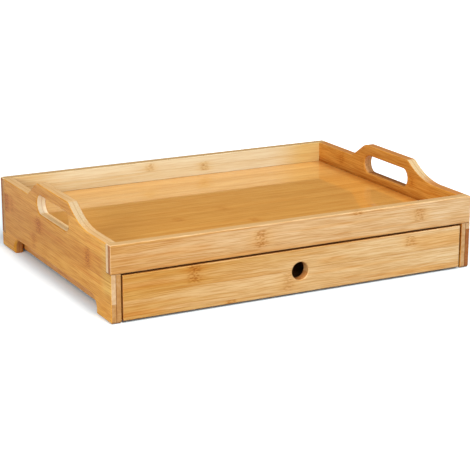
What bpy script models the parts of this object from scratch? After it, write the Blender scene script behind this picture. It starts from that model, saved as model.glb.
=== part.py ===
"""Bamboo serving tray on four feet, with a drawer that slides out at the front.

Metres, +Z up. The origin is on the ground below the middle of the tray. X runs along the length, and
the drawer opens towards -Y.
"""
import math

import bmesh
import bpy
from mathutils import Matrix, Quaternion, Vector

# Carcass
TRAY_LENGTH = 0.500
TRAY_DEPTH = 0.375
RIM_HEIGHT = 0.095
WELL_DEPTH = 0.0275
SIDE_THICKNESS = 0.013
RAIL_THICKNESS = 0.013
BACK_THICKNESS = 0.013
FLOOR_THICKNESS = 0.0045
FLOOR_GROOVE_DEPTH = 0.005
RAIL_LIP = 0.003

# Handle cut into each side panel: the crest rises over the slot and is as long as it
HANDLE_SHIFT = -0.0045
HANDLE_RISE = 0.022
SLOT_LENGTH = 0.1075
SLOT_HEIGHT = 0.024
SLOT_CORNER_RADIUS = 0.0115
GRIP_HEIGHT = 0.0145
CREST_FRONT_RADIUS = 0.012
CREST_REAR_RADIUS = 0.020
SWEEP_ANGLE = math.radians(34)
SWEEP_RADIUS = 0.105
RAMP_ANGLE = math.radians(33)
VALLEY_RADIUS = 0.006

# Feet, left standing by the arch between them
FOOT_LENGTH = 0.047
FOOT_HEIGHT = 0.020
ARCH_CORNER_RADIUS = 0.015
FOOT_CORNER_RADIUS = 0.004
FOOT_ROUNDOVER = 0.003

# Drawer
DRAWER_FRONT_THICKNESS = 0.013
DRAWER_SIDE_THICKNESS = 0.010
DRAWER_BACK_THICKNESS = 0.010
DRAWER_BOTTOM_THICKNESS = 0.004
BOTTOM_GROOVE_DEPTH = 0.004
BOTTOM_GROOVE_HEIGHT = 0.006
FINGER_HOLE_DIAMETER = 0.0225
DRAWER_GROUND_GAP = 0.0025
DRAWER_TOP_GAP = 0.0025
DRAWER_END_GAP = 0.002
DRAWER_HEADROOM = 0.0155
DRAWER_REAR_GAP = 0.005

# Runners, which the grooves in the drawer sides ride on
RUNNER_HEIGHT = 0.008
RUNNER_GROOVE_DEPTH = 0.005
RUNNER_CLEARANCE = 0.0005
RUNNER_STOP_GAP = 0.001

# Fasteners
CARCASS_DOWEL_DIAMETER = 0.006
CARCASS_DOWEL_LENGTH = 0.028
CARCASS_DOWEL_IN_BOARD = 0.009
RAIL_DOWEL_SPACING = 0.012
BACK_DOWEL_SPACING = 0.022
DRAWER_DOWEL_DIAMETER = 0.005
DRAWER_DOWEL_LENGTH = 0.024
DRAWER_DOWEL_IN_FRONT = 0.0085
DRAWER_DOWEL_IN_SIDE = 0.0065
DOWEL_CHAMFER = 0.0006
RUNNER_SCREW_COUNT = 3
RUNNER_SCREW_END_MARGIN = 0.035
SCREW_LENGTH = 0.014
SCREW_SHANK_DIAMETER = 0.003
SCREW_HEAD_DIAMETER = 0.0058
SCREW_HEAD_HEIGHT = 0.0018
SCREW_TIP_LENGTH = 0.003

# Finish of the edges, and fits
ARRIS = 0.0012
SLOT_ROUNDOVER = 0.0025
ARCH_ROUNDOVER = 0.004
HOLE_ROUNDOVER = 0.0015
FIT_GAP = 0.0003
CUT_OVERSHOOT = 0.004
FACET_TOLERANCE = 0.00006
ROUND_SEGMENTS = 12
EASE_SEGMENTS = 2
SMOOTH_ANGLE = math.radians(35)
SAME_WAY = 0.99
ARC_SHARE_OF_EDGE = 0.98

# Faces that the pieces share
HALF_LENGTH = TRAY_LENGTH / 2
INNER_X = HALF_LENGTH - SIDE_THICKNESS
FRONT_Y = -TRAY_DEPTH / 2
REAR_Y = TRAY_DEPTH / 2
RAIL_BACK_Y = FRONT_Y + RAIL_THICKNESS
BACK_FACE_Y = REAR_Y - BACK_THICKNESS
FLOOR_TOP = RIM_HEIGHT - WELL_DEPTH
FLOOR_UNDERSIDE = FLOOR_TOP - FLOOR_THICKNESS
RAIL_BOTTOM = FLOOR_UNDERSIDE - RAIL_LIP

DRAWER_HALF_LENGTH = INNER_X - DRAWER_END_GAP
DRAWER_INNER_X = DRAWER_HALF_LENGTH - DRAWER_SIDE_THICKNESS
DRAWER_FRONT_TOP = RAIL_BOTTOM - DRAWER_TOP_GAP
DRAWER_SIDE_TOP = FLOOR_UNDERSIDE - DRAWER_HEADROOM
DRAWER_FRONT_BACK_Y = FRONT_Y + DRAWER_FRONT_THICKNESS
DRAWER_REAR_Y = BACK_FACE_Y - DRAWER_REAR_GAP
DRAWER_BACK_FACE_Y = DRAWER_REAR_Y - DRAWER_BACK_THICKNESS
BOTTOM_UNDERSIDE = DRAWER_GROUND_GAP + BOTTOM_GROOVE_HEIGHT
BOTTOM_TOP = BOTTOM_UNDERSIDE + DRAWER_BOTTOM_THICKNESS
RUNNER_Z = (BOTTOM_TOP + DRAWER_SIDE_TOP) / 2
RUNNER_OUTER_X = INNER_X - FIT_GAP
RUNNER_INNER_X = DRAWER_HALF_LENGTH - RUNNER_GROOVE_DEPTH + RUNNER_CLEARANCE
RUNNER_GROOVE_HALF = RUNNER_HEIGHT / 2 + RUNNER_CLEARANCE
PIN_X = HALF_LENGTH - SIDE_THICKNESS / 2
SIDES = (("left", -1), ("right", 1))


def clear_scene():
    for existing in list(bpy.data.objects):
        bpy.data.objects.remove(existing, do_unlink=True)


def finish(name, colour, roughness, metallic=0.0):
    """A plain material named after the piece that carries it."""
    material = bpy.data.materials.new(name + "_finish")
    material.use_nodes = True
    shader = material.node_tree.nodes["Principled BSDF"]
    shader.inputs["Base Color"].default_value = (*colour, 1.0)
    shader.inputs["Roughness"].default_value = roughness
    shader.inputs["Metallic"].default_value = metallic
    return material


def bamboo(name, colour):
    return finish(name, colour, roughness=0.32)


def piece(name, bm, material):
    """Turn a bmesh into a named object with outward faces and its own material."""
    bmesh.ops.recalc_face_normals(bm, faces=bm.faces)
    mesh = bpy.data.meshes.new(name)
    bm.to_mesh(mesh)
    bm.free()
    mesh.materials.append(material)
    mesh.shade_smooth()
    mesh.set_sharp_from_angle(angle=SMOOTH_ANGLE)
    made = bpy.data.objects.new(name, mesh)
    bpy.context.scene.collection.objects.link(made)
    return made


def cutter(name, bm):
    """A solid that only cuts others: hidden from renders and drawn as wire."""
    made = piece(name, bm, finish(name, (0.5, 0.5, 0.5), roughness=0.5))
    made.hide_render = True
    made.display_type = "WIRE"
    return made


def cut(target, *tools):
    for tool in tools:
        boolean = target.modifiers.new(tool.name, "BOOLEAN")
        boolean.operation = "DIFFERENCE"
        boolean.solver = "EXACT"
        boolean.object = tool


def box(low, high):
    """A bmesh block between two opposite corners."""
    low, high = Vector(low), Vector(high)
    bm = bmesh.new()
    bmesh.ops.create_cube(bm, size=1.0)
    size = high - low
    bmesh.ops.scale(bm, vec=size, verts=bm.verts)
    bmesh.ops.translate(bm, vec=(low + high) / 2, verts=bm.verts)
    return bm


def ease(bm, radius, chosen):
    """Round the edges that chosen(edge) picks, as sandpaper or a small router bit does."""
    edges = [edge for edge in bm.edges if chosen(edge)]
    bmesh.ops.bevel(bm, geom=edges, offset=radius, segments=EASE_SEGMENTS, profile=0.5, affect="EDGES")


def faces_any(*directions):
    """Pick an edge when each of its two faces looks one of these ways."""
    wanted = [Vector(direction) for direction in directions]

    def chosen(edge):
        looks = [any(face.normal.dot(way) > SAME_WAY for way in wanted) for face in edge.link_faces]
        return all(looks)

    return chosen


def board(name, low, high, material, eased=lambda edge: True):
    """A flat board between two corners, with its chosen edges eased."""
    bm = box(low, high)
    bm.normal_update()
    ease(bm, ARRIS, eased)
    return piece(name, bm, material)


def arc_steps(radius, angle):
    """How many chords keep an arc within the facet tolerance."""
    step = 2 * math.acos(max(0.0, 1 - FACET_TOLERANCE / radius))
    return max(2, math.ceil(abs(angle) / step))


def rounded_outline(corners, chords=None):
    """Points of a closed outline from (u, v, radius) corners, with an arc at each rounded corner.

    chords sets the number of chords of every arc. Where two arcs would meet on one edge, both give way
    until they fit on it.
    """
    places = [Vector((u, v)) for u, v, radius in corners]
    count = len(corners)
    turns, tangents = [], []
    for i, (u, v, radius) in enumerate(corners):
        before = (places[i - 1] - places[i]).normalized()
        after = (places[(i + 1) % count] - places[i]).normalized()
        turns.append((before, after, before.angle(after)))
        tangents.append(radius / math.tan(turns[i][2] / 2))
    for i in range(count):
        following = (i + 1) % count
        room = (places[following] - places[i]).length * ARC_SHARE_OF_EDGE
        wanted = tangents[i] + tangents[following]
        if wanted > room:
            tangents[i] *= room / wanted
            tangents[following] *= room / wanted
    points = []
    for place, (before, after, opening), tangent in zip(places, turns, tangents):
        radius = tangent * math.tan(opening / 2)
        if radius < FACET_TOLERANCE:
            points.append(place)
            continue
        centre = place + (before + after).normalized() * (radius / math.sin(opening / 2))
        start = place + before * tangent - centre
        sweep = start.angle_signed(place + after * tangent - centre)
        steps = chords or arc_steps(radius, sweep)
        for step in range(steps + 1):
            turn = Matrix.Rotation(-sweep * step / steps, 2)
            points.append(centre + turn @ start)
    return points


def rounded_rectangle(centre, length, height, radius, growth):
    """Points of a rectangle with round corners, grown outwards on every side."""
    u, v = length / 2 + growth, height / 2 + growth
    signs = ((-1, -1), (1, -1), (1, 1), (-1, 1))
    corners = [(centre[0] + right * u, centre[1] + up * v, radius + growth) for right, up in signs]
    return rounded_outline(corners, chords=arc_steps(radius, math.pi / 2))


def roundover(radius):
    """(depth below the face, growth) pairs of a quarter-round lip, from the face inwards."""
    steps = arc_steps(radius, math.pi / 2)
    angles = [math.pi / 2 * step / steps for step in range(steps + 1)]
    return [(radius * (1 - math.cos(angle)), radius * (1 - math.sin(angle))) for angle in angles]


def lipped_cutter(name, ring_at, low, high, lip):
    """A through-cutter from low to high along one axis, widening to a quarter-round lip at both faces.

    ring_at(place, growth) gives the cutter's outline, grown outwards, at a place along the axis.
    """
    lips = roundover(lip)
    stations = [(low - CUT_OVERSHOOT, lip)]
    stations += [(low + depth, growth) for depth, growth in lips]
    stations += [(high - depth, growth) for depth, growth in reversed(lips)]
    stations += [(high + CUT_OVERSHOOT, lip)]
    bm = bmesh.new()
    rings = []
    for place, growth in stations:
        rings.append([bm.verts.new(point) for point in ring_at(place, growth)])
    for ring, following in zip(rings, rings[1:]):
        for i in range(len(ring)):
            bm.faces.new((ring[i - 1], ring[i], following[i], following[i - 1]))
    bm.faces.new(rings[0])
    bm.faces.new(rings[-1])
    return cutter(name, bm)


def turned(bm, profile, start, direction):
    """Add a body turned about an axis from (distance along it, radius) points."""
    axis = Vector(direction).normalized()
    spoke = axis.orthogonal().normalized()
    rings = []
    for distance, radius in profile:
        middle = Vector(start) + axis * distance
        ring = []
        for i in range(ROUND_SEGMENTS):
            turn = Quaternion(axis, 2 * math.pi * i / ROUND_SEGMENTS)
            ring.append(bm.verts.new(middle + turn @ (spoke * radius)))
        rings.append(ring)
    for ring, following in zip(rings, rings[1:]):
        for i in range(ROUND_SEGMENTS):
            bm.faces.new((ring[i - 1], ring[i], following[i], following[i - 1]))
    bm.faces.new(rings[0])
    bm.faces.new(rings[-1])


def fasteners(kind, seats, profile, hole_profile, material):
    """Like fasteners, one to each (name, place, direction) seat, and one cutter for all their holes."""
    bm = bmesh.new()
    turned(bm, profile, (0, 0, 0), (0, 0, 1))
    pattern = piece(kind + "_pattern", bm, material)
    holes = bmesh.new()
    made = []
    for name, place, direction in seats:
        fastener = bpy.data.objects.new(name, pattern.data)
        fastener.location = place
        fastener.rotation_euler = Vector((0, 0, 1)).rotation_difference(Vector(direction)).to_euler()
        bpy.context.scene.collection.objects.link(fastener)
        made.append(fastener)
        turned(holes, hole_profile, place, direction)
    bpy.data.objects.remove(pattern)
    return made, cutter(kind + "_holes", holes)


def dowels(kind, seats, diameter, length):
    """Beech dowels with chamfered ends, in blind holes that start and end a fit gap beyond them."""
    radius = diameter / 2
    profile = ((0, radius - DOWEL_CHAMFER), (DOWEL_CHAMFER, radius),
               (length - DOWEL_CHAMFER, radius), (length, radius - DOWEL_CHAMFER))
    hole = ((-FIT_GAP, radius + FIT_GAP), (length + FIT_GAP, radius + FIT_GAP))
    return fasteners(kind, seats, profile, hole, finish(kind, (0.72, 0.55, 0.33), roughness=0.6))


def side_outline():
    """Outline of a side panel in Y and Z: feet at the bottom, and the handle swelling above the rim."""
    crest = RIM_HEIGHT + HANDLE_RISE
    crest_front = HANDLE_SHIFT - SLOT_LENGTH / 2
    crest_rear = HANDLE_SHIFT + SLOT_LENGTH / 2
    sweep_foot = crest_front - HANDLE_RISE / math.tan(SWEEP_ANGLE)
    ramp_foot = crest_rear + HANDLE_RISE / math.tan(RAMP_ANGLE)
    return rounded_outline((
        (FRONT_Y, 0, FOOT_CORNER_RADIUS),
        (REAR_Y, 0, FOOT_CORNER_RADIUS),
        (REAR_Y, RIM_HEIGHT, 0),
        (ramp_foot, RIM_HEIGHT, VALLEY_RADIUS),
        (crest_rear, crest, CREST_REAR_RADIUS),
        (crest_front, crest, CREST_FRONT_RADIUS),
        (sweep_foot, RIM_HEIGHT, SWEEP_RADIUS),
        (FRONT_Y, RIM_HEIGHT, 0),
    ))


def side_panel(name, side, tools):
    """One of the two end boards that carry everything: feet, handle, and the grooves and notches."""
    outer, inner = side * HALF_LENGTH, side * INNER_X
    bm = bmesh.new()
    rim = bm.faces.new([bm.verts.new((outer, y, z)) for y, z in side_outline()])
    grown = bmesh.ops.extrude_face_region(bm, geom=[rim])
    moved = [item for item in grown["geom"] if isinstance(item, bmesh.types.BMVert)]
    bmesh.ops.translate(bm, vec=(inner - outer, 0, 0), verts=moved)
    bmesh.ops.recalc_face_normals(bm, faces=bm.faces)
    bm.normal_update()

    def on_a_broad_face(edge):
        return sum(abs(face.normal.x) > SAME_WAY for face in edge.link_faces) == 1

    ease(bm, ARRIS, on_a_broad_face)
    panel = piece(name, bm, bamboo(name, (0.66, 0.38, 0.14)))
    cut(panel, *tools)
    return panel


def slot_cutter(name, side):
    middle = (HANDLE_SHIFT, RIM_HEIGHT + HANDLE_RISE - GRIP_HEIGHT - SLOT_HEIGHT / 2)
    low, high = sorted((side * HALF_LENGTH, side * INNER_X))

    def ring_at(x, growth):
        outline = rounded_rectangle(middle, SLOT_LENGTH, SLOT_HEIGHT, SLOT_CORNER_RADIUS, growth)
        return [(x, y, z) for y, z in outline]

    return lipped_cutter(name, ring_at, low, high, SLOT_ROUNDOVER)


def arch_cutter(name, side):
    """Cuts the low arch between the feet; it reaches as far below the ground as above it."""
    low, high = sorted((side * HALF_LENGTH, side * INNER_X))

    def ring_at(x, growth):
        length = TRAY_DEPTH - 2 * FOOT_LENGTH
        outline = rounded_rectangle((0, 0), length, 2 * FOOT_HEIGHT, ARCH_CORNER_RADIUS, growth)
        return [(x, y, z) for y, z in outline]

    return lipped_cutter(name, ring_at, low, high, ARCH_ROUNDOVER)


def foot_edge_cutter(name, side):
    """Rounds the two long bottom edges of a side panel's feet, in one run from front to back."""
    bm = bmesh.new()
    for face_x, inwards in ((side * HALF_LENGTH, -side), (side * INNER_X, side)):
        section = [(face_x + inwards * depth, growth) for depth, growth in roundover(FOOT_ROUNDOVER)]
        section += [(face_x + inwards * FOOT_ROUNDOVER, -CUT_OVERSHOOT),
                    (face_x - inwards * CUT_OVERSHOOT, -CUT_OVERSHOOT),
                    (face_x - inwards * CUT_OVERSHOOT, FOOT_ROUNDOVER)]
        end = bm.faces.new([bm.verts.new((x, FRONT_Y - CUT_OVERSHOOT, z)) for x, z in section])
        grown = bmesh.ops.extrude_face_region(bm, geom=[end])
        moved = [item for item in grown["geom"] if isinstance(item, bmesh.types.BMVert)]
        bmesh.ops.translate(bm, vec=(0, TRAY_DEPTH + 2 * CUT_OVERSHOOT, 0), verts=moved)
    return cutter(name, bm)


def runner_screws():
    """Countersunk screws through the runners into the side panels, spread between the end margins."""
    head, shank = SCREW_HEAD_DIAMETER / 2, SCREW_SHANK_DIAMETER / 2
    profile = ((0, head), (SCREW_HEAD_HEIGHT, shank), (SCREW_LENGTH - SCREW_TIP_LENGTH, shank),
               (SCREW_LENGTH, shank / 4))
    hole = ((-CUT_OVERSHOOT, head + FIT_GAP), (FIT_GAP, head + FIT_GAP),
            (SCREW_HEAD_HEIGHT + FIT_GAP, shank + FIT_GAP), (SCREW_LENGTH + FIT_GAP, shank + FIT_GAP))
    first = DRAWER_FRONT_BACK_Y + RUNNER_STOP_GAP + RUNNER_SCREW_END_MARGIN
    pitch = (BACK_FACE_Y - FIT_GAP - RUNNER_SCREW_END_MARGIN - first) / (RUNNER_SCREW_COUNT - 1)
    seats = []
    for side_name, side in SIDES:
        for i in range(RUNNER_SCREW_COUNT):
            place = (side * (RUNNER_INNER_X + FIT_GAP), first + pitch * i, RUNNER_Z)
            seats.append((f"{side_name}_runner_screw_{i + 1}", place, (side, 0, 0)))
    steel = finish("runner_screw", (0.62, 0.60, 0.56), roughness=0.35, metallic=1.0)
    return fasteners("runner_screw", seats, profile, hole, steel)


def rail_dowels():
    """Dowels that pin the ends of the front rail to the side panels, above the floor."""
    seats = []
    for side_name, side in SIDES:
        for height_name, step in (("lower", -0.5), ("upper", 0.5)):
            z = (FLOOR_TOP + RIM_HEIGHT) / 2 + RAIL_DOWEL_SPACING * step
            place = (side * PIN_X, RAIL_BACK_Y - CARCASS_DOWEL_IN_BOARD, z)
            seats.append((f"{side_name}_rail_dowel_{height_name}", place, (0, 1, 0)))
    return dowels("rail_dowel", seats, CARCASS_DOWEL_DIAMETER, CARCASS_DOWEL_LENGTH)


def back_dowels():
    """Dowels that pin the back panel to the side panels, two below the floor and one above it."""
    below = (FOOT_HEIGHT + FLOOR_UNDERSIDE) / 2
    heights = (("lower", below - BACK_DOWEL_SPACING / 2), ("middle", below + BACK_DOWEL_SPACING / 2),
               ("upper", (FLOOR_TOP + RIM_HEIGHT) / 2))
    seats = []
    for side_name, side in SIDES:
        for height_name, z in heights:
            place = (side * PIN_X, BACK_FACE_Y + CARCASS_DOWEL_IN_BOARD, z)
            seats.append((f"{side_name}_back_dowel_{height_name}", place, (0, -1, 0)))
    return dowels("back_dowel", seats, CARCASS_DOWEL_DIAMETER, CARCASS_DOWEL_LENGTH)


def drawer_dowels():
    """Dowels that pin the drawer sides to the drawer front, and the drawer back to its sides."""
    x = DRAWER_HALF_LENGTH - DRAWER_SIDE_THICKNESS / 2
    heights = (("lower", (BOTTOM_TOP + RUNNER_Z - RUNNER_GROOVE_HALF) / 2),
               ("upper", (RUNNER_Z + RUNNER_GROOVE_HALF + DRAWER_SIDE_TOP) / 2))
    back_y = (DRAWER_BACK_FACE_Y + DRAWER_REAR_Y) / 2
    front_seats = []
    back_seats = []
    for side_name, side in SIDES:
        for height_name, z in heights:
            ending = f"{side_name}_{height_name}"
            place = (side * x, DRAWER_FRONT_BACK_Y - DRAWER_DOWEL_IN_FRONT, z)
            front_seats.append((f"drawer_front_dowel_{ending}", place, (0, 1, 0)))
            place = (side * (DRAWER_INNER_X + DRAWER_DOWEL_IN_SIDE), back_y, z)
            back_seats.append((f"drawer_back_dowel_{ending}", place, (-side, 0, 0)))
    front = dowels("drawer_front_dowel", front_seats, DRAWER_DOWEL_DIAMETER, DRAWER_DOWEL_LENGTH)
    back = dowels("drawer_back_dowel", back_seats, DRAWER_DOWEL_DIAMETER, DRAWER_DOWEL_LENGTH)
    return front, back


def build_carcass():
    """Side panels, front rail, back panel, tray floor and runners, with what pins them together."""
    _, rail_dowel_holes = rail_dowels()
    _, back_dowel_holes = back_dowels()
    _, screw_holes = runner_screws()

    tongue = FLOOR_GROOVE_DEPTH - FIT_GAP
    floor_high = Vector((INNER_X + tongue, BACK_FACE_Y + tongue, FLOOR_TOP))
    floor_low = Vector((-floor_high.x, RAIL_BACK_Y - tongue, FLOOR_UNDERSIDE))
    piece("tray_floor", box(floor_low, floor_high), bamboo("tray_floor", (0.64, 0.39, 0.13)))
    play = Vector((FIT_GAP, FIT_GAP, FIT_GAP))
    floor_groove = cutter("floor_groove", box(floor_low - play, floor_high + play))

    reach = HALF_LENGTH + CUT_OVERSHOOT
    above = RIM_HEIGHT + CUT_OVERSHOOT
    rail_notch = cutter("rail_notch", box(
        (-reach, FRONT_Y - CUT_OVERSHOOT, RAIL_BOTTOM - FIT_GAP), (reach, RAIL_BACK_Y + FIT_GAP, above)))
    back_notch = cutter("back_notch", box(
        (-reach, BACK_FACE_Y - FIT_GAP, FOOT_HEIGHT - FIT_GAP), (reach, REAR_Y + CUT_OVERSHOOT, above)))

    for name, side in SIDES:
        slot = slot_cutter(name + "_handle_slot", side)
        arch = arch_cutter(name + "_foot_arch", side)
        foot_edges = foot_edge_cutter(name + "_foot_edges", side)
        joinery = (rail_notch, back_notch, floor_groove, rail_dowel_holes, back_dowel_holes, screw_holes)
        side_panel(name + "_side_panel", side, (slot, arch, foot_edges, *joinery))
        near, far = sorted((side * RUNNER_INNER_X, side * RUNNER_OUTER_X))
        runner = board(
            name + "_drawer_runner",
            (near, DRAWER_FRONT_BACK_Y + RUNNER_STOP_GAP, RUNNER_Z - RUNNER_HEIGHT / 2),
            (far, BACK_FACE_Y - FIT_GAP, RUNNER_Z + RUNNER_HEIGHT / 2),
            bamboo(name + "_drawer_runner", (0.70, 0.46, 0.20)),
            eased=lambda edge: False)
        cut(runner, screw_holes)

    rail = board(
        "front_rail", (-HALF_LENGTH, FRONT_Y, RAIL_BOTTOM), (HALF_LENGTH, RAIL_BACK_Y, RIM_HEIGHT),
        bamboo("front_rail", (0.72, 0.46, 0.19)),
        eased=lambda edge: not faces_any((1, 0, 0), (-1, 0, 0), (0, 1, 0))(edge))
    cut(rail, floor_groove, rail_dowel_holes)

    back = board(
        "back_panel", (-HALF_LENGTH, BACK_FACE_Y, FOOT_HEIGHT), (HALF_LENGTH, REAR_Y, RIM_HEIGHT),
        bamboo("back_panel", (0.78, 0.54, 0.26)),
        eased=lambda edge: not faces_any((1, 0, 0), (-1, 0, 0), (0, -1, 0))(edge))
    cut(back, floor_groove, back_dowel_holes)


def finger_hole_cutter():
    middle_z = (DRAWER_GROUND_GAP + DRAWER_FRONT_TOP) / 2
    steps = 4 * arc_steps(FINGER_HOLE_DIAMETER / 2, math.pi / 2)

    def ring_at(y, growth):
        radius = FINGER_HOLE_DIAMETER / 2 + growth
        angles = [2 * math.pi * step / steps for step in range(steps)]
        return [(radius * math.cos(angle), y, middle_z + radius * math.sin(angle)) for angle in angles]

    return lipped_cutter("finger_hole", ring_at, FRONT_Y, DRAWER_FRONT_BACK_Y, HOLE_ROUNDOVER)


def build_drawer():
    """The drawer box, on an empty at the point that slides along the runners."""
    (front_dowels, front_holes), (back_dowels, back_holes) = drawer_dowels()

    tongue = BOTTOM_GROOVE_DEPTH - FIT_GAP
    bottom_high = Vector((DRAWER_INNER_X + tongue, DRAWER_BACK_FACE_Y + tongue, BOTTOM_TOP))
    bottom_low = Vector((-bottom_high.x, DRAWER_FRONT_BACK_Y - tongue, BOTTOM_UNDERSIDE))
    bottom_bamboo = bamboo("drawer_bottom", (0.80, 0.62, 0.38))
    bottom = piece("drawer_bottom", box(bottom_low, bottom_high), bottom_bamboo)
    play = Vector((FIT_GAP, FIT_GAP, FIT_GAP))
    bottom_groove = cutter("drawer_bottom_groove", box(bottom_low - play, bottom_high + play))

    front = board(
        "drawer_front",
        (-DRAWER_HALF_LENGTH, FRONT_Y, DRAWER_GROUND_GAP),
        (DRAWER_HALF_LENGTH, DRAWER_FRONT_BACK_Y, DRAWER_FRONT_TOP),
        bamboo("drawer_front", (0.72, 0.45, 0.18)))
    cut(front, finger_hole_cutter(), bottom_groove, front_holes)

    members = [bottom, front, *front_dowels, *back_dowels]
    for name, side in SIDES:
        near, far = sorted((side * DRAWER_INNER_X, side * DRAWER_HALF_LENGTH))
        wall = board(
            "drawer_" + name + "_side",
            (near, DRAWER_FRONT_BACK_Y + FIT_GAP, DRAWER_GROUND_GAP),
            (far, DRAWER_REAR_Y, DRAWER_SIDE_TOP),
            bamboo("drawer_" + name + "_side", (0.76, 0.54, 0.28)))
        groove_floor = DRAWER_HALF_LENGTH - RUNNER_GROOVE_DEPTH
        near, far = sorted((side * groove_floor, side * (DRAWER_HALF_LENGTH + CUT_OVERSHOOT)))
        groove = cutter("drawer_" + name + "_runner_groove", box(
            (near, DRAWER_FRONT_BACK_Y - CUT_OVERSHOOT, RUNNER_Z - RUNNER_GROOVE_HALF),
            (far, DRAWER_REAR_Y + CUT_OVERSHOOT, RUNNER_Z + RUNNER_GROOVE_HALF)))
        cut(wall, groove, bottom_groove, front_holes, back_holes)
        members.append(wall)

    back = board(
        "drawer_back",
        (-DRAWER_INNER_X + FIT_GAP, DRAWER_BACK_FACE_Y, DRAWER_GROUND_GAP),
        (DRAWER_INNER_X - FIT_GAP, DRAWER_REAR_Y, DRAWER_SIDE_TOP),
        bamboo("drawer_back", (0.76, 0.54, 0.28)))
    cut(back, bottom_groove, back_holes)
    members.append(back)

    slide = bpy.data.objects.new("drawer_slide", None)
    slide.location = (0, DRAWER_FRONT_BACK_Y, RUNNER_Z)
    bpy.context.scene.collection.objects.link(slide)
    for member in members:
        member.parent = slide
        member.location -= slide.location


clear_scene()
build_carcass()
build_drawer()
bpy.context.view_layer.update()
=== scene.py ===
"""Looks of the bamboo serving tray with a drawer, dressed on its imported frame.

Metres, +Z up. X runs along the length of the tray, and the drawer opens towards -Y. The sections follow
the tray as it is put together, and the room that it is photographed in comes last.
"""
import math

import bmesh
import bpy
from mathutils import Matrix, Vector


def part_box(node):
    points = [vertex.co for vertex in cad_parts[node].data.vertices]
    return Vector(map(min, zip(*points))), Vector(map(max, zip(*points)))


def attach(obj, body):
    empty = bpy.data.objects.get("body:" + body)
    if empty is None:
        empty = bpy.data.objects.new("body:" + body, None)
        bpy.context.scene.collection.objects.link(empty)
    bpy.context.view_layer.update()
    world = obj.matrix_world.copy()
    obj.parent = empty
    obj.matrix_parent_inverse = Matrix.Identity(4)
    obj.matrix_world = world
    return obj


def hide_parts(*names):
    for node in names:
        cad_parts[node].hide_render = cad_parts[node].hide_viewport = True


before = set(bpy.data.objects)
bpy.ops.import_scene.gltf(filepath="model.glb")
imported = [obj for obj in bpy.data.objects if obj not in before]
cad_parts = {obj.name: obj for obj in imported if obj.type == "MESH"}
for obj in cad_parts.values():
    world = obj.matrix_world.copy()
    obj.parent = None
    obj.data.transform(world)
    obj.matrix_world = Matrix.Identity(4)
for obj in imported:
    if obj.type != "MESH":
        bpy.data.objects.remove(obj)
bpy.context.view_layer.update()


# Tray floor
# A thin bamboo panel, slid into grooves all round before the last side goes on. It is glued up from flat
# strips of culm wall and lacquered to a gloss, because cups and plates stand on it.

STRIP_STAGGER = 0.43
TONE_STEP = 0.382
PLY_TONE_STEP = 0.37
PLY_NUMBER_STEP = 7.0
STRIP_SHIFT = 1.37
SEAM_WIDTH = 0.0004
JOINT_WIDTH = 0.0008
FIBRE_SWAY = 0.002
KNUCKLE_WAVER = 0.007
CORNER_MARGIN = 0.0002
END_REACH = 0.012
RELIEF_DEPTH = 0.0001
LACQUER_ROUGHNESS = 0.38
COAT_ROUGHNESS = 0.04
LOW_CUT = (0.52, 0.23, 0.07, 1.0)


def place(tree, kind, feeds=None, **settings):
    """Add a shader node. feeds gives its inputs: plain values, or the sockets they are wired to."""
    made = tree.nodes.new("ShaderNode" + kind)
    for setting, value in settings.items():
        setattr(made, setting, value)
    for key, value in (feeds or {}).items():
        if isinstance(value, bpy.types.NodeSocket):
            tree.links.new(value, made.inputs[key])
        else:
            made.inputs[key].default_value = value
    return made


def calc(tree, operation, *feeds, clamp=False):
    return place(tree, "Math", dict(enumerate(feeds)), operation=operation, use_clamp=clamp).outputs[0]


def ramp(tree, value, low, high):
    """Rise smoothly from 0 to 1 while the value goes from low to high."""
    feeds = {"Value": value, "From Min": low, "From Max": high}
    return place(tree, "MapRange", feeds, interpolation_type="SMOOTHSTEP").outputs["Result"]


def mixed(tree, share, first, second, blend="MIX"):
    """Mix two colours by a share from 0 to 1."""
    made = place(tree, "Mix", data_type="RGBA", blend_type=blend)
    for socket, value in ((made.inputs[0], share), (made.inputs[6], first), (made.inputs[7], second)):
        if isinstance(value, bpy.types.NodeSocket):
            tree.links.new(value, socket)
        else:
            socket.default_value = value
    return made.outputs[2]


def between(tree, share, first, second):
    """Mix two numbers by a share from 0 to 1."""
    return place(tree, "Mix", {0: share, 2: first, 3: second}, data_type="FLOAT").outputs[0]


def grain_noise(tree, where, stretch, detail=2.0):
    """Noise in strokes: stretch gives the waves a metre along the grain, across it and through it."""
    stretched = place(tree, "VectorMath", {0: where, 1: stretch}, operation="MULTIPLY").outputs[0]
    return place(tree, "TexNoise", {"Vector": stretched, "Scale": 1.0, "Detail": detail}).outputs[0]


def floats(*titles):
    return dict.fromkeys(titles, "Float")


def new_group(name, inputs, outputs):
    """A shader node group with a place and named sockets: its tree, its given values, its results."""
    tree = bpy.data.node_groups.new(name, "ShaderNodeTree")
    for title, kind in {"Place": "Vector", **inputs}.items():
        tree.interface.new_socket(title, in_out="INPUT", socket_type="NodeSocket" + kind)
    for title, kind in outputs.items():
        tree.interface.new_socket(title, in_out="OUTPUT", socket_type="NodeSocket" + kind)
    return tree, tree.nodes.new("NodeGroupInput").outputs, tree.nodes.new("NodeGroupOutput").inputs


def use_group(tree, group, feeds):
    """Place a node group in a tree and feed its named inputs."""
    return place(tree, "Group", feeds, node_tree=group).outputs


def new_material(name):
    """A new material: itself, its node tree and its shader."""
    material = bpy.data.materials.new(name)
    material.use_nodes = True
    return material, material.node_tree, material.node_tree.nodes["Principled BSDF"]


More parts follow.
